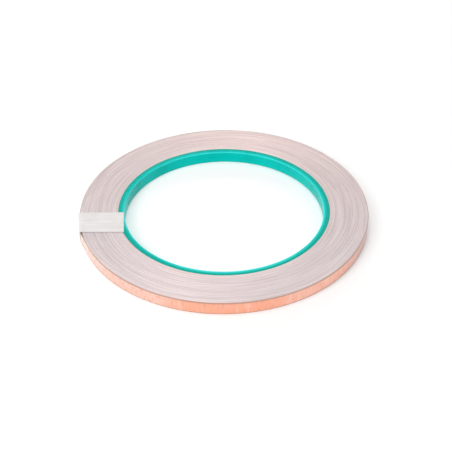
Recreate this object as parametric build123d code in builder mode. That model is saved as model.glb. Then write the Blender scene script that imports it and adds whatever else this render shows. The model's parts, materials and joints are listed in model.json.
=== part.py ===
from build123d import *
import os
from math import atan2, cos, degrees, radians, sin, tan

# A roll of narrow copper foil tape, lying flat. The origin is on the axis of the core's bore,
# in the plane that the roll rests on, with +Z up along the axis. Millimetres.

# ---- driving dimensions ----
tape_width = 5.0
bore_radius = 38.1  # the 76.2 mm bore of a three-inch core
core_wall = 2.4
bore_rounding = 0.4
core_outer_rounding = 0.2

foil_thickness = 0.035
adhesive_thickness = 0.025
liner_thickness = 0.086
turns_on_the_roll = 100

strip_thickness = 0.12  # the paper of the retaining strip
strip_azimuth = 188.8  # the way that the strip's leg faces, about +Z from +X
strip_front = 6.95  # the two ends of the strip's fold, along the roll's tangent
strip_back = -5.2
strip_skew = 9.3  # the strip lies this many degrees off the roll's radius
panel_front_length = 16.5
panel_back_length = 17.4
panel_stand_off = 0.02  # between the panel and the edge of the tape beneath
leg_stand_off = 0.22  # between the leg and the tightly wound tape, at its middle
leg_foot_clearance = 0.3  # between the end of the leg and the plane that the roll rests on

end_leaves = 12.9  # degrees from the leg's middle to where the tape's loose end leaves the roll
end_crease = 3.3  # and how far it turns off the roll's tangent there
end_reach = -3.4  # where the loose end stops behind the leg, along the tangent
end_gap = 0.03  # between the loose end and the leg that holds it

# ---- worked out from them ----
core_radius = bore_radius + core_wall
pitch = foil_thickness + adhesive_thickness + liner_thickness
roll_radius = core_radius + turns_on_the_roll * pitch
pack_radius = roll_radius - pitch  # of the turns under the last one
leg_inside = roll_radius + leg_stand_off
fold = leg_inside + strip_thickness

strip_plane = Plane.XY.rotated((0, 0, strip_azimuth))  # its X runs out through the leg

# A turn is two half circles, the second larger by half a pitch, with their centres a
# quarter pitch either side of the axis, so that the spiral has no corner in it.
quarter_pitch = pitch / 4
step_angle = degrees(atan2(end_reach, leg_inside))  # where each turn goes on into the next
second_centre = Vector(quarter_pitch, 0).rotate(Axis.Z, step_angle)
first_centre = -second_centre
first_radius = pack_radius - 3 * quarter_pitch
second_radius = pack_radius - quarter_pitch

# The tape's layers, from the inside out: how far each lies from the turn beneath, and its thickness.
layers = {
    "liner": (0, liner_thickness),
    "adhesive": (liner_thickness, adhesive_thickness),
    "foil": (liner_thickness + adhesive_thickness, foil_thickness),
}

os.makedirs("parts", exist_ok=True)


def save(piece, name):
    """Labels a finished piece and writes it as a node of its own."""
    piece.part.label = name
    export_step(piece.part, f"parts/{name}.step")


def leaving_point(depth):
    """Where the loose end leaves the roll, at this distance from the turn beneath."""
    radius, angle = second_radius + depth, radians(end_leaves)
    return second_centre + Vector(radius * cos(angle), radius * sin(angle))


def last_turn_edge(depth):
    """One face of the last turn, as far as it lies tight on the roll. Returns its two ends."""
    start = CenterArc(first_centre, first_radius + depth, step_angle, -180)
    CenterArc(second_centre, second_radius + depth, end_leaves, 180 + step_angle - end_leaves)
    return start @ 0, leaving_point(depth)


def loose_end_edge(depth):
    """One face of the loose end: straight off the roll, then flat behind the strip's leg."""
    leaves = leaving_point(depth)
    flat_x = leg_inside - end_gap - pitch + depth
    spread = tan(radians(end_leaves + end_crease))
    bend = Vector(flat_x, leaves.Y - (flat_x - leaves.X) / spread)
    end = Vector(flat_x, end_reach)
    Polyline(leaves, bend, end)
    return leaves, end


def layer_outline(edge, depth, thickness):
    """The outline of one layer between its two faces, closed across both of its ends."""
    with BuildSketch(strip_plane) as outline:
        with BuildLine():
            inner_ends = edge(depth)
            outer_ends = edge(depth + thickness)
            for inner, outer in zip(inner_ends, outer_ends):
                Line(inner, outer)
        make_face()
    return outline.sketch


# ---- the core: a moulded plastic ring with rounded edges ----
with BuildPart() as core_ring:
    with BuildSketch():
        Circle(core_radius)
        Circle(bore_radius, mode=Mode.SUBTRACT)
    extrude(amount=tape_width)
    rims = core_ring.edges().filter_by(GeomType.CIRCLE).group_by(SortBy.RADIUS)
    fillet(rims[0], bore_rounding)
    rims = core_ring.edges().filter_by(GeomType.CIRCLE).group_by(SortBy.RADIUS)
    fillet(rims[-1], core_outer_rounding)
save(core_ring, "core_ring")

# ---- the wound tape under the last turn, pressed and stuck into one mass ----
# Its outside is the last turn but one. The step across it, as high as the tape is thick,
# is where that turn goes on into the last one.
with BuildPart() as wound_tape:
    with BuildSketch(strip_plane):
        with BuildLine():
            first_half = CenterArc(first_centre, first_radius, step_angle, -180)
            second_half = CenterArc(second_centre, second_radius, step_angle, 180)
            Line(first_half @ 0, second_half @ 0)
        make_face()
        Circle(core_radius, mode=Mode.SUBTRACT)
    extrude(amount=tape_width)
save(wound_tape, "wound_tape")

# ---- the layers of the last turn, and of the loose end that it runs out into ----
for layer, (depth, thickness) in layers.items():
    with BuildPart() as last_turn_layer:
        add(layer_outline(last_turn_edge, depth, thickness))
        extrude(amount=tape_width)
    save(last_turn_layer, f"last_turn_{layer}")

    with BuildPart() as loose_end_layer:
        add(layer_outline(loose_end_edge, depth, thickness))
        extrude(amount=tape_width)
    save(loose_end_layer, f"loose_end_{layer}")

# ---- the paper strip that holds the loose end: its leg, outside the roll ----
# The strip keeps its skew as it turns down over the edge, so the leg leans back.
leg_plane = Plane(
    strip_plane.from_local_coords((leg_inside, 0, 0)),
    x_dir=strip_plane.y_dir,
    z_dir=strip_plane.x_dir,
)
leg_top = tape_width + panel_stand_off
leg_lean = (leg_top - leg_foot_clearance) * tan(radians(strip_skew))
with BuildPart() as strip_leg:
    with BuildSketch(leg_plane):
        with BuildLine():
            Polyline(
                (strip_back, leg_top),
                (strip_front, leg_top),
                (strip_front - leg_lean, leg_foot_clearance),
                (strip_back - leg_lean, leg_foot_clearance),
                close=True,
            )
        make_face()
    extrude(amount=strip_thickness)
save(strip_leg, "strip_leg")

# ---- and its panel, across the edges of the tape and part of the core ----
# It turns up about the outer edge of the fold, where it meets the leg.
inwards = Vector(-cos(radians(strip_skew)), sin(radians(strip_skew)))
fold_back = Vector(fold, strip_back)
fold_front = Vector(fold, strip_front)
with BuildPart() as strip_panel:
    with BuildSketch(strip_plane.offset(leg_top)):
        with BuildLine():
            Polyline(
                fold_back,
                fold_front,
                fold_front + inwards * panel_front_length,
                fold_back + inwards * panel_back_length,
                close=True,
            )
        make_face()
    extrude(amount=strip_thickness)
save(strip_panel, "strip_panel")

# ---- where the moving pieces turn and slide ----
fold_middle = Vector(fold, (strip_front + strip_back) / 2, leg_top + strip_thickness)
print("the panel turns about", strip_plane.from_local_coords(fold_middle), "along", strip_plane.y_dir)
print("the strip pulls off along", strip_plane.x_dir)
print("the loose end turns about", strip_plane.from_local_coords(leaving_point(pitch)))
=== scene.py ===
import json
from math import atan2, ceil, cos, exp, pi, radians, sin, tan

import bmesh
import bpy
from mathutils import Matrix, Vector, noise


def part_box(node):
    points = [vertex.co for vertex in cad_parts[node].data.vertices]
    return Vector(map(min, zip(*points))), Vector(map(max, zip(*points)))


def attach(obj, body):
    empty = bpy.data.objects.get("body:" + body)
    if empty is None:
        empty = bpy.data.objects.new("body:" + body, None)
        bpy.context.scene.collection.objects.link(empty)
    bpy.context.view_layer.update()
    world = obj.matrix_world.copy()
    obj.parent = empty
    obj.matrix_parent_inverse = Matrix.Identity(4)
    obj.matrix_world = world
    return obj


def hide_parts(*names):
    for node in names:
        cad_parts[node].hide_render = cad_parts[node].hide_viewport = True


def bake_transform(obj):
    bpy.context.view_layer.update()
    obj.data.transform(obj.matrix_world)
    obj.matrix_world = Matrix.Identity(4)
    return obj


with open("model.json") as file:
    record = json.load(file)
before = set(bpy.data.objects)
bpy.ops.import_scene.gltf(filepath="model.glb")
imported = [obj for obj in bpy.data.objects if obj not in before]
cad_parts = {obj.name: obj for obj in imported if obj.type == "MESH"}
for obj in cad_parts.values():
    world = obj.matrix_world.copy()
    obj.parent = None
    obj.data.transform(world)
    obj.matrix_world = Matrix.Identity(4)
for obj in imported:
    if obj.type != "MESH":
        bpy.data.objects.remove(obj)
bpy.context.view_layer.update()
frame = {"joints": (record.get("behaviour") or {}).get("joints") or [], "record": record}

# A roll of narrow copper foil tape, lying flat: a moulded plastic core, one long tape of foil,
# adhesive and release liner wound on it, the tape's loose end, and the folded paper strip that
# holds it. Lengths are millimetres, and become metres where they reach Blender.

MM = 0.001
mounts = {mount["name"]: mount for mount in frame["record"]["mounts"]}
joints = {joint["name"]: joint for joint in frame["joints"]}

# ---- sizes that the frame gives ----
bore_radius = mounts["core_bore"]["dims"]["r_mm"]
core_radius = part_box("core_ring")[1].x / MM
tape_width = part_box("wound_tape")[1].z / MM
strip_outwards = Vector(joints["strip_pull"]["axis"])  # the way that the strip's leg faces
strip_forwards = Vector(joints["panel_lift"]["axis"])  # along the strip's fold
fold_middle = Vector(joints["panel_lift"]["pos_m"]) / MM
fold_distance = fold_middle.dot(strip_outwards)  # from the roll's axis to the outside of the fold
leaving_place = Vector(joints["end_swing"]["pos_m"]) / MM

# ---- the tape ----
foil_thickness = 0.035
adhesive_thickness = 0.025
liner_thickness = 0.086
tape_thickness = foil_thickness + adhesive_thickness + liner_thickness
turns_beneath = 98  # the turns wound before the last one begins
loose_end_reach = 3.4  # how far it goes past the middle of the strip's leg
loose_end_gap = 0.03  # between it and the leg
loose_end_crease = radians(3.3)  # how far it turns off the roll's tangent where it leaves
adhesive_shrink = 0.025  # the adhesive stops this short of the edges of the foil

# From the inside out: how far each layer lies from the turn beneath, its thickness,
# and how far it stops short of the tape's two edges.
layers = {
    "liner": (0, liner_thickness, 0.005),
    "adhesive": (liner_thickness, adhesive_thickness, adhesive_shrink),
    "foil": (liner_thickness + adhesive_thickness, foil_thickness, 0),
}

# ---- the paper strip ----
paper_thickness = 0.12
strip_front, strip_back = 6.95, -5.2  # the ends of its fold, from the middle of its leg
strip_skew = radians(9.3)  # it lies askew across the roll
panel_front_length, panel_back_length = 16.5, 17.4
leg_foot = 0.3  # how far the leg's end is off the floor
fold_radius = 0.25

leg_inside = fold_distance - paper_thickness
strip_azimuth = atan2(strip_outwards.y, strip_outwards.x)
first_azimuth = strip_azimuth - atan2(loose_end_reach, leg_inside)
leaving_azimuth = atan2(leaving_place.y, leaving_place.x)
leaving_turn = turns_beneath + ((first_azimuth - leaving_azimuth) / (2 * pi)) % 1
last_turn_radius = core_radius + tape_thickness * (turns_beneath + 0.5)
last_turn_length = 2 * pi * (leaving_turn - turns_beneath) * last_turn_radius


# ======== nodes ========


class Value:
    """One output of a node. Sums with it add Math nodes to the same tree."""

    def __init__(self, graph, socket):
        self.graph = graph
        self.socket = socket

    def maths(self, operation, *values):
        return self.graph.node("ShaderNodeMath", {"operation": operation}, dict(enumerate(values)))

    def __add__(self, other):
        return self.maths("ADD", self, other)

    def __sub__(self, other):
        return self.maths("SUBTRACT", self, other)

    def __rsub__(self, other):
        return self.maths("SUBTRACT", other, self)

    def __mul__(self, other):
        return self.maths("MULTIPLY", self, other)

    def __truediv__(self, other):
        return self.maths("DIVIDE", self, other)

    __radd__ = __add__
    __rmul__ = __mul__

    def sine(self):
        return self.maths("SINE", self)

    def cosine(self):
        return self.maths("COSINE", self)

    def ramp(self, low, high):
        """0 up to low, 1 from high on, and smooth between. low may be above high."""
        settings = {"interpolation_type": "SMOOTHSTEP"}
        return self.graph.node("ShaderNodeMapRange", settings, {0: self, 1: low, 2: high})


class Graph:
    """Adds nodes to one shader or geometry tree."""

    def __init__(self, tree):
        self.tree = tree

    def node(self, kind, settings=None, inputs=None, output=0):
        """Adds a node, makes its settings, then sets or links its sockets. Returns one output."""
        made = self.tree.nodes.new(kind)
        for name, setting in (settings or {}).items():
            setattr(made, name, setting)
        for name, value in (inputs or {}).items():
            if isinstance(value, Value):
                self.tree.links.new(value.socket, made.inputs[name])
            else:
                made.inputs[name].default_value = value
        return Value(self, made.outputs[output]) if made.outputs else None

    def vector(self, x, y, z):
        return self.node("ShaderNodeCombineXYZ", None, {0: x, 1: y, 2: z})

    def noise(self, place, scale, detail=2.0, roughness=0.5):
        """A cloudy value of about 0.5, from 0 to 1."""
        inputs = {"Vector": place, "Scale": scale, "Detail": detail, "Roughness": roughness}
        return self.node("ShaderNodeTexNoise", None, inputs)

    def mix(self, factor, first, second):
        """Goes from the first colour to the second."""
        settings = {"data_type": "RGBA", "clamp_factor": True}
        return self.node("ShaderNodeMix", settings, {0: factor, 6: first, 7: second}, 2)

    def attribute(self, name):
        return self.node("ShaderNodeAttribute", {"attribute_name": name}, None, "Fac")

    def millimetres(self):
        """The place on the piece, in millimetres."""
        place = self.node("ShaderNodeTexCoord", None, None, "Object")
        inputs = {0: place, "Scale": 1 / MM}
        return self.node("ShaderNodeVectorMath", {"operation": "SCALE"}, inputs)

    def split(self, vector):
        return [self.node("ShaderNodeSeparateXYZ", None, {0: vector}, axis) for axis in range(3)]

    def from_axis(self, place):
        """The distance of a place from the roll's axis."""
        flat = self.node(
            "ShaderNodeVectorMath", {"operation": "MULTIPLY"}, {0: place, 1: (1, 1, 0)}
        )
        return self.node("ShaderNodeVectorMath", {"operation": "LENGTH"}, {0: flat}, "Value")

    def towards(self, place, azimuth):
        """1 in this direction from the roll's axis, and 0 at right angles to it."""
        across, along, _ = self.split(place)
        return (across * cos(azimuth) + along * sin(azimuth)) / self.from_axis(place)

    def stretched(self, place, factors):
        return self.node("ShaderNodeVectorMath", {"operation": "MULTIPLY"}, {0: place, 1: factors})

    def bump(self, height):
        """A normal for a height in millimetres."""
        return self.node("ShaderNodeBump", None, {"Distance": MM, "Height": height}, "Normal")


def colour(red, green, blue):
    return (red, green, blue, 1)


def new_material(name):
    material = bpy.data.materials.new(name)
    material.use_nodes = True
    material.node_tree.nodes.clear()
    return material, Graph(material.node_tree)


def surface(graph, **sockets):
    """Ends a material's tree in one Principled shader. Underscores stand for spaces."""
    inputs = {name.replace("_", " "): value for name, value in sockets.items()}
    shader = graph.node("ShaderNodeBsdfPrincipled", None, inputs)
    graph.node("ShaderNodeOutputMaterial", None, {"Surface": shader})


# ======== finishes ========


def moulded_teal():
    """Glossy moulded plastic: cloudy pigment, turning marks, painted highlight along the rim of
    the bore, widest at the front, rougher flecks of wear, and painted shade on the top's outer
    part.
    """
    material, graph = new_material("moulded teal plastic")
    place = graph.millimetres()
    radius = graph.from_axis(place)
    height = graph.split(place)[2]
    cloud = graph.noise(place, 0.07, 3)
    speckle = graph.noise(place, 2.2, 2)
    scuffs = graph.noise(graph.stretched(place, (0.5, 0.5, 6)), 1.3, 3)
    # Painted highlight: brighter teal along the rim of the bore.
    rim = radius.ramp(bore_radius + 0.5, bore_radius + 0.1) * height.ramp(4.2, 4.7)
    # Flecks of the rim that are rougher from wear, and that take more of the painted highlight.
    rim_wear_and_painted_sheen = rim * graph.noise(place, 0.9, 4).ramp(0.45, 0.75)
    # Painted shade: darker teal on the outer part of the top face.
    face = radius.ramp(bore_radius + 0.7, bore_radius + 1.3) * height.ramp(4.7, 4.9)
    pigment = graph.mix(cloud.ramp(0.3, 0.7), colour(0.0, 0.51, 0.45), colour(0.0, 0.58, 0.52))
    pigment = graph.mix(face, pigment, colour(0.0, 0.38, 0.31))
    pigment = graph.mix(speckle.ramp(0.66, 0.8) * 0.25, pigment, colour(0.0, 0.60, 0.53))
    # Painted highlight that widens the rim's bright band at the front.
    painted_front_rim_highlight = radius.ramp(bore_radius + 1.9, bore_radius + 0.9) * height.ramp(4.6, 4.8)
    painted_front_rim_highlight = painted_front_rim_highlight * graph.towards(place, radians(-80)).ramp(cos(radians(50)), cos(radians(20)))
    pigment = graph.mix(rim * 0.75, pigment, colour(0.05, 0.80, 0.74))
    pigment = graph.mix(painted_front_rim_highlight * 0.5, pigment, colour(0.05, 0.80, 0.74))
    pigment = graph.mix(rim_wear_and_painted_sheen * 0.3, pigment, colour(0.16, 0.80, 0.74))
    surface(
        graph,
        Base_Color=pigment,
        Specular_IOR_Level=0.2,
        Specular_Tint=colour(0.1, 1.0, 0.95),
        Roughness=0.2 + 0.16 * cloud + 0.12 * scuffs.ramp(0.5, 0.8) + 0.15 * rim_wear_and_painted_sheen,
        Normal=graph.bump(0.006 * scuffs + 0.004 * speckle),
    )
    return material


def wound_edge(name, pale, deep, metal, roughness):
    """The slit edges of one layer, seen as turns side by side: each has its own shade,
    which drifts as the turn goes round."""
    material, graph = new_material(name)
    place = graph.millimetres()
    turn = graph.attribute("turn")
    across, along, _ = graph.split(place)
    drift = graph.vector(across * 0.06, along * 0.06, turn * 1.1)
    groups = graph.vector(across * 0.035, along * 0.035, turn * 0.55)
    bands = graph.vector(across * 0.025, along * 0.025, turn * 0.2)
    shade = 0.2 * graph.noise(drift, 1, 2) + 0.6 * graph.noise(groups, 1, 2)
    shade = shade + 0.2 * graph.noise(bands, 1, 2)
    grain = graph.noise(place, 3.5, 3)
    tint = graph.mix(shade.ramp(0.42, 0.58), deep, pale)
    tint = graph.mix(turn.ramp(18, 1) * 0.25, tint, colour(0.86, 0.68, 0.62))
    tint = graph.mix(grain.ramp(0.55, 0.8) * 0.3, tint, deep)
    surface(
        graph,
        Base_Color=tint,
        Metallic=metal,
        Roughness=roughness + 0.2 * grain,
        Normal=graph.bump(0.012 * grain),
    )
    return material


def rolled_copper():
    """Bright rolled foil: ripples across it, fine rolling lines along it, and dull slit edges.
    Painted reflections make it deeper at the front, paler towards its end and palest at the end;
    painted shade greys it further back and darkens its foot."""
    material, graph = new_material("rolled copper foil")
    place = graph.millimetres()
    height = graph.split(place)[2]
    along = graph.attribute("along")
    ripple = graph.noise(graph.vector(along * 0.55, height * 0.12, 0), 1, 3)
    dimple = graph.noise(graph.vector(along * 1.6, height * 0.9, 4), 1, 2)
    lines = graph.noise(graph.vector(along * 0.05, height * 9, 9), 1, 2)
    bloom = graph.noise(graph.vector(along * 0.09, height * 0.3, 2), 1, 4, 0.6)
    streaks = graph.noise(graph.vector(along * 1.3, height * 0.35 + along * 0.3, 5), 1, 2)
    # slit: the top band is the dull slit edge; the band along the foot is painted contact shade at
    # the floor.
    slit = height.ramp(tape_width - 0.9, tape_width - 0.2) + height.ramp(0.4, 0.1)
    # Painted reflection: deeper, more saturated copper at the front.
    painted_front_reflection = graph.towards(place, radians(-88)).ramp(cos(radians(30)), cos(radians(12)))
    # Painted highlight: paler copper over the stretch before the end.
    painted_pale_highlight = along.ramp(last_turn_length - 115, last_turn_length - 50)
    # end: painted highlight, palest copper on the last stretch, near the strip.
    end = along.ramp(last_turn_length - 25, last_turn_length)
    # Painted shade: duller, greyer copper further back along the last turn, on the shadow side.
    painted_side_shade = along.ramp(last_turn_length - 105, last_turn_length - 142)
    bright = graph.mix(painted_pale_highlight, colour(0.95, 0.55, 0.43), colour(0.96, 0.63, 0.54))
    bright = graph.mix(painted_side_shade, bright, colour(0.68, 0.51, 0.48))
    bright = graph.mix(end, bright, colour(0.93, 0.76, 0.69))
    bright = graph.mix(painted_front_reflection * (0.7 + 0.4 * bloom), bright, colour(0.97, 0.46, 0.31))
    bright = graph.mix(ripple.ramp(0.5, 0.72) * 0.4, bright, colour(0.98, 0.72, 0.62))
    bright = graph.mix(streaks.ramp(0.48, 0.7) * 0.6, bright, colour(0.82, 0.40, 0.29))
    bright = graph.mix(slit * 0.7, bright, colour(0.46, 0.30, 0.24))
    surface(
        graph,
        Base_Color=bright,
        Metallic=1.0,
        Roughness=0.30 + 0.14 * bloom + 0.05 * lines + 0.15 * slit,
        Normal=graph.bump(0.03 * ripple + 0.012 * dimple + 0.0012 * lines),
    )
    return material


def release_liner():
    """Smooth calendered release paper, with painted shade, dark brown, on its inner face."""
    material, graph = new_material("release liner")
    place = graph.millimetres()
    along = graph.attribute("along")
    height = graph.split(place)[2]
    mottle = graph.noise(graph.vector(along * 0.8, height * 0.8, 0), 1, 4)
    fibres = graph.noise(graph.vector(along * 0.6, height * 7, 3), 1, 3)
    inside = graph.attribute("inside")
    slit = height.ramp(tape_width - 0.12, tape_width - 0.03)
    tint = graph.mix(mottle.ramp(0.3, 0.7), colour(0.74, 0.71, 0.68), colour(0.82, 0.80, 0.78))
    tint = graph.mix(fibres.ramp(0.6, 0.8) * 0.3, tint, colour(0.62, 0.58, 0.54))
    # Painted shade: the inner face is dark brown, like the narrow gap behind the loose end.
    tint = graph.mix(inside * 0.85, tint, colour(0.36, 0.28, 0.23))
    surface(
        graph,
        Base_Color=graph.mix(slit * 0.65, tint, colour(0.40, 0.34, 0.32)),
        Roughness=0.38 + 0.15 * mottle,
        Normal=graph.bump(0.004 * mottle + 0.003 * fibres),
    )
    return material


def acrylic_adhesive():
    """Clear adhesive with dust along its edges."""
    material, graph = new_material("acrylic adhesive")
    place = graph.millimetres()
    dust = graph.noise(place, 4, 4)
    tint = graph.mix(dust.ramp(0.4, 0.7), colour(0.60, 0.50, 0.43), colour(0.44, 0.35, 0.30))
    surface(
        graph,
        Base_Color=tint,
        Roughness=0.3 + 0.3 * dust,
        Normal=graph.bump(0.01 * dust),
    )
    return material


def strip_paper():
    """Uncoated paper with its grain along the strip, and a painted highlight along the fold."""
    material, graph = new_material("uncoated paper")
    place = graph.millimetres()
    along = graph.attribute("along")
    across = graph.attribute("across")
    grain = graph.noise(graph.vector(along * 0.35, across * 3.2, 0), 1, 3, 0.6)
    streaks = graph.noise(graph.vector(along * 0.04, across * 0.7, 7), 1, 2)
    fibres = graph.noise(place, 5, 4, 0.65)
    blotch = graph.noise(place, 0.25, 3)
    # fold: painted highlight, paler cream along the fold.
    fold = (along * along).ramp(1.2, 0.05)
    tint = graph.mix(blotch.ramp(0.3, 0.7), colour(0.71, 0.685, 0.675), colour(0.765, 0.74, 0.73))
    tint = graph.mix(streaks.ramp(0.48, 0.72) * 0.5, tint, colour(0.64, 0.615, 0.60))
    tint = graph.mix(grain.ramp(0.55, 0.8) * 0.35, tint, colour(0.77, 0.755, 0.74))
    tint = graph.mix(fold * 0.6, tint, colour(0.80, 0.77, 0.72))
    surface(
        graph,
        Base_Color=tint,
        Roughness=0.62 + 0.2 * fibres,
        Normal=graph.bump(0.012 * fibres + 0.008 * grain),
    )
    return material


def studio_floor():
    """White paper sweep, lit past white as in a product studio."""
    material, graph = new_material("studio floor")
    place = graph.millimetres()
    mottle = graph.noise(place, 0.05, 3)
    surface(
        graph,
        Base_Color=graph.mix(mottle, colour(0.86, 0.86, 0.86), colour(0.88, 0.88, 0.88)),
        Roughness=0.75 + 0.1 * mottle,
        Specular_IOR_Level=0.2,
        Emission_Color=colour(1, 1, 1),
        Emission_Strength=0.16,
    )
    return material


# ======== shapes ========

sharp_angle = radians(35)  # an edge that turns by more than this stays crisp


def mesh_object(name, mesh, material):
    """A finished mesh as an object at the origin, with its faces pointing outwards."""
    shape = bmesh.new()
    shape.from_mesh(mesh)
    bmesh.ops.recalc_face_normals(shape, faces=shape.faces)
    shape.to_mesh(mesh)
    shape.free()
    mesh.materials.clear()
    mesh.materials.append(material)
    made = bpy.data.objects.new(name, mesh)
    bpy.context.scene.collection.objects.link(made)
    return made


def loft(name, sections, material, closed=False, attributes=None):
    """A closed skin over rings of points. A closed one joins its last ring to its first,
    and an open one has a flat cap at each end. Attributes are lists of one value a point."""
    rings, size = len(sections), len(sections[0])
    faces = []
    for ring in range(rings if closed else rings - 1):
        here, there = ring * size, (ring + 1) % rings * size
        for k in range(size):
            following = (k + 1) % size
            faces.append((here + k, there + k, there + following, here + following))
    if not closed:
        faces.append(tuple(range(size)))
        faces.append(tuple(range((rings - 1) * size, rings * size)))
    mesh = bpy.data.meshes.new(name)
    mesh.from_pydata([point * MM for section in sections for point in section], [], faces)
    for title, values in (attributes or {}).items():
        mesh.attributes.new(title, "FLOAT", "POINT").data.foreach_set("value", values)
    made = mesh_object(name, mesh, material)
    mesh.shade_smooth()
    mesh.set_sharp_from_angle(angle=sharp_angle)
    return made


def wobble(x, y, z=0.0):
    """A smooth value between about -1 and 1."""
    return noise.noise(Vector((x, y, z)))


def around(azimuth):
    return Vector((cos(azimuth), sin(azimuth), 0))


# ---- the core ----

core_segments = 480
bore_rounding = 0.4
outer_rounding = 0.2
rounding_steps = 6
top_crown = 0.16  # how far the top face falls towards the bore
crown_width = 1.2
top_unevenness = 0.02
face_steps, wall_steps = 8, 6

# Small knocks on the rim of the bore: azimuth in degrees, half width in degrees, depth.
rim_nicks = [(84, 0.7, 0.10), (76, 1.0, 0.14), (148, 0.6, 0.16), (206, 0.5, 0.12), (31, 0.8, 0.07)]
nick_reach = 0.5  # how far a knock goes out from the bore


def core_profile():
    """The section of the core's ring, as distances from the axis and heights."""

    def corner(centre_radius, centre_height, rounding, start):
        turns = [start + pi / 2 * step / rounding_steps for step in range(rounding_steps + 1)]
        return [
            (centre_radius + rounding * cos(turn), centre_height + rounding * sin(turn))
            for turn in turns
        ]

    inner, outer = bore_radius + bore_rounding, core_radius - outer_rounding
    points = corner(outer, tape_width - outer_rounding, outer_rounding, 0)
    flat = [outer - (outer - inner) * step / face_steps for step in range(1, face_steps)]
    points += [(radius, tape_width) for radius in flat]
    points += corner(inner, tape_width - bore_rounding, bore_rounding, pi / 2)
    wall_top, wall_foot = tape_width - bore_rounding, bore_rounding
    wall_step = (wall_top - wall_foot) / wall_steps
    points += [(bore_radius, wall_top - wall_step * step) for step in range(1, wall_steps)]
    points += corner(inner, bore_rounding, bore_rounding, pi)
    points += corner(outer, outer_rounding, outer_rounding, 3 * pi / 2)
    return points


def core_ring():
    """The moulded ring. Its top is crowned a little towards the bore, and slightly uneven."""
    profile = core_profile()
    sections = []
    for segment in range(core_segments):
        azimuth = 2 * pi * segment / core_segments
        out = around(azimuth)
        section = []
        for radius, height in profile:
            share = height / tape_width
            inward = max(0.0, (bore_radius + crown_width - radius) / crown_width)
            drop = top_crown * inward * inward
            drop += top_unevenness * (1 + wobble(3 * out.x, 3 * out.y, 0.3 * radius))
            for place, half_width, depth in rim_nicks:
                apart = (azimuth - radians(place) + pi) % (2 * pi) - pi
                near = exp(-((apart / radians(half_width)) ** 2))
                drop += depth * near * exp(-(((radius - bore_radius) / nick_reach) ** 2))
            section.append(out * radius + Vector((0, 0, height - drop * share**3)))
        sections.append(section)
    return loft("core", sections, moulded_teal(), closed=True)


# ---- the turns of tape under the last one ----

steps_per_turn = 120
turn_unevenness = 0.04  # how far a turn's edges may stand from the middle of their drift
winding_seed = 7.0


def winding_tree():
    """Geometry nodes that wind one layer of the tape: a spiral of stations, each set up or
    down by a smooth noise so that the turns are not quite flush, with a flat section."""
    tree = bpy.data.node_groups.new("winding", "GeometryNodeTree")
    tree.is_modifier = True
    sizes = {
        "Core Radius": "NodeSocketFloat",
        "Tape Thickness": "NodeSocketFloat",
        "Layer Depth": "NodeSocketFloat",
        "Layer Thickness": "NodeSocketFloat",
        "Layer Width": "NodeSocketFloat",
        "Middle Height": "NodeSocketFloat",
        "Unevenness": "NodeSocketFloat",
        "First Azimuth": "NodeSocketFloat",
        "Turns": "NodeSocketInt",
        "Steps per Turn": "NodeSocketInt",
        "Seed": "NodeSocketFloat",
        "Finish": "NodeSocketMaterial",
    }
    tree.interface.new_socket("Geometry", in_out="OUTPUT", socket_type="NodeSocketGeometry")
    for name, kind in sizes.items():
        tree.interface.new_socket(name, in_out="INPUT", socket_type=kind)
    graph = Graph(tree)
    entry = tree.nodes.new("NodeGroupInput")
    given = {name: Value(graph, entry.outputs[name]) for name in sizes}

    stations = given["Turns"] * given["Steps per Turn"] + 1
    line = graph.node("GeometryNodeCurvePrimitiveLine")
    line = graph.node(
        "GeometryNodeResampleCurve", {"mode": "COUNT"}, {"Curve": line, "Count": stations}
    )
    turn = graph.node("GeometryNodeInputIndex") / given["Steps per Turn"]
    radius = given["Core Radius"] + given["Layer Depth"] + given["Layer Thickness"] * 0.5
    radius = radius + turn * given["Tape Thickness"]
    azimuth = given["First Azimuth"] - turn * (2 * pi)
    east, north = azimuth.cosine(), azimuth.sine()

    def unevenness(round_scale, turn_scale):
        place = graph.vector(east * round_scale, north * round_scale, turn * turn_scale)
        inputs = {"Vector": place, "W": given["Seed"], "Scale": 1.0, "Detail": 2.0}
        return graph.node("ShaderNodeTexNoise", {"noise_dimensions": "4D"}, inputs) - 0.5

    lift = (unevenness(2.5, 0.25) * 1.1 + unevenness(4.0, 1.1) * 0.9) * given["Unevenness"]
    height = given["Middle Height"] + lift
    line = graph.node(
        "GeometryNodeSetPosition",
        None,
        {"Geometry": line, "Position": graph.vector(radius * east, radius * north, height)},
    )
    line = graph.node(
        "GeometryNodeStoreNamedAttribute",
        {"data_type": "FLOAT", "domain": "POINT"},
        {"Geometry": line, "Name": "turn", "Value": turn},
    )
    line = graph.node("GeometryNodeSetCurveNormal", {"mode": "Z_UP"}, {"Curve": line})
    section = graph.node(
        "GeometryNodeCurvePrimitiveQuadrilateral",
        None,
        {"Width": given["Layer Thickness"], "Height": given["Layer Width"]},
    )
    skin = graph.node(
        "GeometryNodeCurveToMesh",
        None,
        {"Curve": line, "Profile Curve": section, "Fill Caps": True},
    )
    skin = graph.node("GeometryNodeRealizeInstances", None, {"Geometry": skin})
    skin = graph.node(
        "GeometryNodeSetMaterial", None, {"Geometry": skin, "Material": given["Finish"]}
    )
    graph.node("NodeGroupOutput", None, {"Geometry": skin})
    return tree


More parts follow.
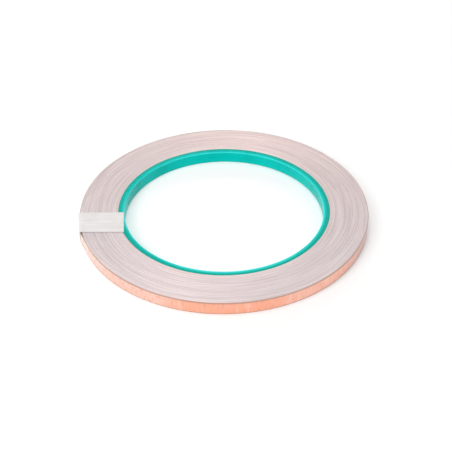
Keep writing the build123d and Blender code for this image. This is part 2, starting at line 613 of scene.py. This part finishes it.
def wound_layer(tree, layer, material):
    """Winds one layer and keeps the result as a plain mesh."""
    depth, thickness, shrink = layers[layer]
    sizes = {
        "Core Radius": core_radius * MM,
        "Tape Thickness": tape_thickness * MM,
        "Layer Depth": depth * MM,
        "Layer Thickness": thickness * MM,
        "Layer Width": (tape_width - 2 * turn_unevenness - 2 * shrink) * MM,
        "Middle Height": tape_width / 2 * MM,
        "Unevenness": 2 * turn_unevenness * MM,
        "First Azimuth": first_azimuth,
        "Turns": turns_beneath,
        "Steps per Turn": steps_per_turn,
        "Seed": winding_seed,
        "Finish": material,
    }
    blank = bpy.data.objects.new("blank", bpy.data.meshes.new("blank"))
    bpy.context.scene.collection.objects.link(blank)
    modifier = blank.modifiers.new("winding", "NODES")
    modifier.node_group = tree
    for item in tree.interface.items_tree:
        if item.in_out == "INPUT":
            modifier[item.identifier] = sizes[item.name]
    evaluated = blank.evaluated_get(bpy.context.evaluated_depsgraph_get())
    mesh = bpy.data.meshes.new_from_object(evaluated)
    mesh.name = f"wound_{layer}"
    bpy.data.objects.remove(blank)
    made = mesh_object(f"wound_{layer}", mesh, material)
    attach(made, "roll")
    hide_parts("wound_tape")


# ---- the last turn and the loose end ----

turn_segments = 720
turn_slack = 0.05  # how far the last turn's ripples stand off the roll
slack_run_in = 12  # and the length in which they rise and die away
plain_edge_drop = 0.015  # how far the edges of liner and adhesive are below flush
bottom_dent_share = 0.4  # how deep the bottom edge's dents are, against the top edge's
foil_rows = 8  # strips of faces across the foil
swing_length = 2.0  # a length along the tape's way out, from where it leaves the roll


def turn_beneath(turn):
    """The face that this point of the winding lies on, and the way out from it."""
    out = around(first_azimuth - 2 * pi * turn)
    return out * (core_radius + tape_thickness * turn), out


def last_turn_path():
    """Stations along the last turn: place, way out, and distance along the tape."""
    stations, travelled, before = [], 0.0, None
    for step in range(turn_segments + 1):
        turn = turns_beneath + (leaving_turn - turns_beneath) * step / turn_segments
        place, out = turn_beneath(turn)
        if before is not None:
            travelled += (place - before).length
        stations.append((place, out, travelled))
        before = place
    return stations


def loose_end_path(travelled):
    """Stations along the loose end: straight on from the roll, round a gentle bend, and flat
    behind the strip's leg."""
    bend_length = 2.0
    straight_step, flat_step, bend_steps = 0.4, 0.6, 8
    start, out = turn_beneath(leaving_turn)
    forward = Matrix.Rotation(loose_end_crease, 3, "Z") @ Vector((out.y, -out.x, 0))
    flat_distance = leg_inside - loose_end_gap - tape_thickness
    to_bend = (flat_distance - start.dot(strip_outwards)) / forward.dot(strip_outwards)
    turning = -forward.angle(-strip_forwards)
    straight = to_bend - bend_length / 2
    flat = (start + forward * to_bend).dot(strip_forwards) + loose_end_reach - bend_length / 2
    steps = [(straight / ceil(straight / straight_step), 0)] * ceil(straight / straight_step)
    steps += [(bend_length / bend_steps, turning / bend_steps)] * bend_steps
    steps += [(flat / ceil(flat / flat_step), 0)] * ceil(flat / flat_step)
    stations = [(start, out, travelled)]
    place = start
    for length, angle in steps:
        forward = Matrix.Rotation(angle / 2, 3, "Z") @ forward
        place = place + forward * length
        forward = Matrix.Rotation(angle / 2, 3, "Z") @ forward
        travelled += length
        stations.append((place, Vector((-forward.y, forward.x, 0)), travelled))
    return stations


def edge_damage(travelled):
    """How far the slit edge of the foil is dented at this place: a few dents, and a fine
    raggedness all along."""
    dents = max(0.0, wobble(travelled * 0.9, 5.5) - 0.45)
    raggedness = 1 + wobble(travelled * 4, 1.5)
    return 0.16 * dents + 0.012 * raggedness


def tape_layer(name, stations, layer, material, slackness):
    """One layer along the stations. The slack tape stands off the roll in shallow ripples.
    The top sixth of its width takes the edge's dents, and the bottom sixth a part of them."""
    depth, thickness, shrink = layers[layer]
    rows = foil_rows if layer == "foil" else 1
    sections, along, inner_face = [], [], []
    for place, out, travelled in stations:
        slack = slackness(travelled)

        def point(distance, share):
            height = shrink + (tape_width - 2 * shrink) * share
            dent = edge_damage(travelled) if layer == "foil" else plain_edge_drop
            height -= dent * max(0.0, share * 6 - 5)
            height += bottom_dent_share * dent * max(0.0, 1 - share * 6)
            ripple = 0.5 + 0.35 * wobble(travelled * 0.16, share * 0.5)
            ripple += 0.15 * wobble(travelled * 0.7, share)
            return place + out * (distance + slack * ripple) + Vector((0, 0, height))

        outside = [point(depth + thickness, row / rows) for row in range(rows + 1)]
        inside = [point(depth, 1), point(depth, 0)]
        sections.append(outside + inside)
        along += [travelled] * (rows + 3)
        inner_face += [0.0] * (rows + 1) + [1.0] * 2
    attributes = {"along": along, "inside": inner_face}
    return loft(name, sections, material, attributes=attributes)


def last_turn_and_end(finishes):
    """The three layers of the last turn, and of the loose end that goes on from it."""
    last_turn = last_turn_path()
    whole = last_turn[-1][2]
    loose_end = loose_end_path(whole)

    def slack(travelled):
        nearer_end = min(travelled, whole - travelled)
        return turn_slack * min(1.0, nearer_end / slack_run_in)

    def no_slack(travelled):
        return 0.0

    bend_start, out, _ = last_turn[-1]
    bend_end = bend_start + Vector((out.y, -out.x, 0)) * swing_length
    for layer, material in finishes.items():
        turn_piece = tape_layer(f"last_turn_of_{layer}", last_turn, layer, material, slack)
        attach(turn_piece, "roll")
        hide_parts(f"last_turn_{layer}")
        end_piece = tape_layer(f"loose_end_of_{layer}", loose_end, layer, material, no_slack)
        bend_start * MM
        bend_end * MM
        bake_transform(end_piece)
        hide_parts(f"loose_end_{layer}")


# ---- the paper strip ----

panel_stand_off = 0.02  # between the panel and the tape's edge
panel_swell = 0.012  # how far the panel lifts in shallow waves
corner_curl = 0.05  # and how far its back corner curls up
turning_clearance = 0.04  # from the leg's inner face in to the first of two points at the panel's height
turning_length = 0.8  # from the first of those points in to the second
leg_steps, bend_steps, panel_steps, across_steps = 10, 8, 48, 24


def paper_strip():
    """The strip as one folded piece: a leg down the outside, a tight bend, and a panel that
    lies across the tape and half of the core."""
    top = tape_width + panel_stand_off + paper_thickness
    bend_height = top - fold_radius
    inwards = strip_forwards * sin(strip_skew) - strip_outwards * cos(strip_skew)

    # Stations along the strip, from the foot of the leg: how far out its outer face is, its
    # height, how far it has turned over, and the share of the panel that is behind it.
    stations = []
    for step in range(leg_steps):
        height = leg_foot + (bend_height - leg_foot) * step / leg_steps
        stations.append((fold_distance, height, 0.0, 0.0))
    for step in range(bend_steps + 1):
        turn = pi / 2 * step / bend_steps
        distance = fold_distance - fold_radius * (1 - cos(turn))
        stations.append((distance, bend_height + fold_radius * sin(turn), turn, 0.0))
    for step in range(1, panel_steps + 1):
        stations.append((fold_distance - fold_radius, top, pi / 2, step / panel_steps))

    sections, along, across = [], [], []
    for distance, height, turn, share in stations:
        facing = strip_outwards * cos(turn) + Vector((0, 0, sin(turn)))
        lean = (fold_distance - distance - max(0.0, bend_height - height)) * tan(strip_skew)
        turned = (fold_distance - distance) / cos(strip_skew)
        outer, travelled, widths = [], [], []
        for step in range(across_steps + 1):
            part = step / across_steps
            width = (strip_front - strip_back) * part
            length = panel_back_length + (panel_front_length - panel_back_length) * part
            reach = (length - fold_radius / cos(strip_skew)) * share
            run = height - top + turned + reach
            swell = panel_swell * (1 + wobble(run * 0.22, part * 1.4, 2.0)) * min(1.0, share * 6)
            swell += corner_curl * max(0.0, share * 5 - 4) * (1 - part)
            place = strip_outwards * distance + strip_forwards * (strip_back + width + lean)
            outer.append(place + inwards * reach + Vector((0, 0, height + swell)))
            travelled.append(run)
            widths.append(width)
        inner = [place - facing * paper_thickness for place in outer]
        sections.append(outer + inner[::-1])
        along += travelled + travelled[::-1]
        across += widths + widths[::-1]
    attributes = {"along": along, "across": across}
    made = loft("retaining_strip", sections, strip_paper(), attributes=attributes)

    # Two points at the panel's height: one just inside the leg's inner face, and one further in.
    start = strip_outwards * (leg_inside - turning_clearance) + Vector((0, 0, top))
    end = start - strip_outwards * turning_length
    start * MM
    end * MM
    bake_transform(made)
    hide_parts("strip_leg", "strip_panel")


# ======== studio ========

room_light = 0.36
floor_half_width = 3.0  # metres
floor_drop = 0.02  # how far the floor is under the roll, so that they don't share a plane


def area_light(name, place, size, power):
    """A softbox that looks at the roll and isn't seen itself."""
    light = bpy.data.lights.new(name, "AREA")
    light.shape = "RECTANGLE"
    light.size, light.size_y = size
    light.energy = power
    made = bpy.data.objects.new(name, light)
    made.location = place
    made.rotation_euler = (-Vector(place)).to_track_quat("-Z", "Y").to_euler()
    made.visible_camera = False
    bpy.context.scene.collection.objects.link(made)


def studio():
    """A white room, three softboxes, and a floor just under the roll."""
    scene = bpy.context.scene
    scene.view_settings.view_transform = "Standard"
    world = bpy.data.worlds.new("studio")
    world.use_nodes = True
    background = world.node_tree.nodes["Background"]
    background.inputs["Color"].default_value = colour(1, 1, 1)
    background.inputs["Strength"].default_value = room_light
    scene.world = world
    area_light("overhead softbox", (0, 0, 0.8), (0.45, 0.45), 2.5)
    area_light("front left softbox", (-0.26, -0.32, 0.29), (0.3, 0.3), 1.1)
    area_light("back card", (0, 1.0, 0.28), (1.4, 0.35), 6.0)

    half, low = floor_half_width, -floor_drop * MM
    corners = [(-half, -half, low), (half, -half, low), (half, half, low), (-half, half, low)]
    mesh = bpy.data.meshes.new("floor")
    mesh.from_pydata(corners, [], [(0, 1, 2, 3)])
    mesh.materials.append(studio_floor())
    floor = bpy.data.objects.new("floor", mesh)
    scene.collection.objects.link(floor)


def camera():
    """Looks down at the roll from the front, from a good hand's reach away. It aims close to
    the roll's middle: the small turns off that line set the framing."""
    elevation, distance = radians(37.081), 0.37125  # metres
    yaw, pitch, roll = radians(0.109), radians(-0.5484), radians(-0.4711)
    back = Vector((0, -cos(elevation), sin(elevation)))
    right = Vector((1, 0, 0))
    up = right.cross(-back)
    forward = (-back + right * tan(yaw) + up * tan(pitch)).normalized()
    right = forward.cross(up).normalized()
    up = right.cross(forward)
    rolled_right = right * cos(roll) + up * sin(roll)
    rolled_up = up * cos(roll) - right * sin(roll)
    lens = bpy.data.cameras.new("camera")
    lens.lens, lens.sensor_width = 76.42, 36
    lens.clip_start = 0.01  # metres
    made = bpy.data.objects.new("camera", lens)
    made.matrix_world = Matrix.Translation(back * distance) @ Matrix(
        (rolled_right, rolled_up, -forward)
    ).transposed().to_4x4()
    bpy.context.scene.collection.objects.link(made)
    bpy.context.scene.camera = made


# ======== the roll ========

core = core_ring()
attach(core, "roll")
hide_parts("core_ring")

# Each layer's slit edge: its pale and deep shades, how metallic it is, and its roughness.
slit_edges = {
    "liner": (colour(0.80, 0.81, 0.86), colour(0.65, 0.64, 0.69), 0.0, 0.5),
    "adhesive": (colour(0.52, 0.47, 0.44), colour(0.42, 0.37, 0.34), 0.0, 0.4),
    "foil": (colour(0.85, 0.55, 0.46), colour(0.68, 0.41, 0.33), 0.6, 0.4),
}
winding = winding_tree()
for layer, edge in slit_edges.items():
    wound_layer(winding, layer, wound_edge(f"slit {layer}", *edge))

last_turn_and_end(
    {"liner": release_liner(), "adhesive": acrylic_adhesive(), "foil": rolled_copper()}
)
paper_strip()

camera()
studio()
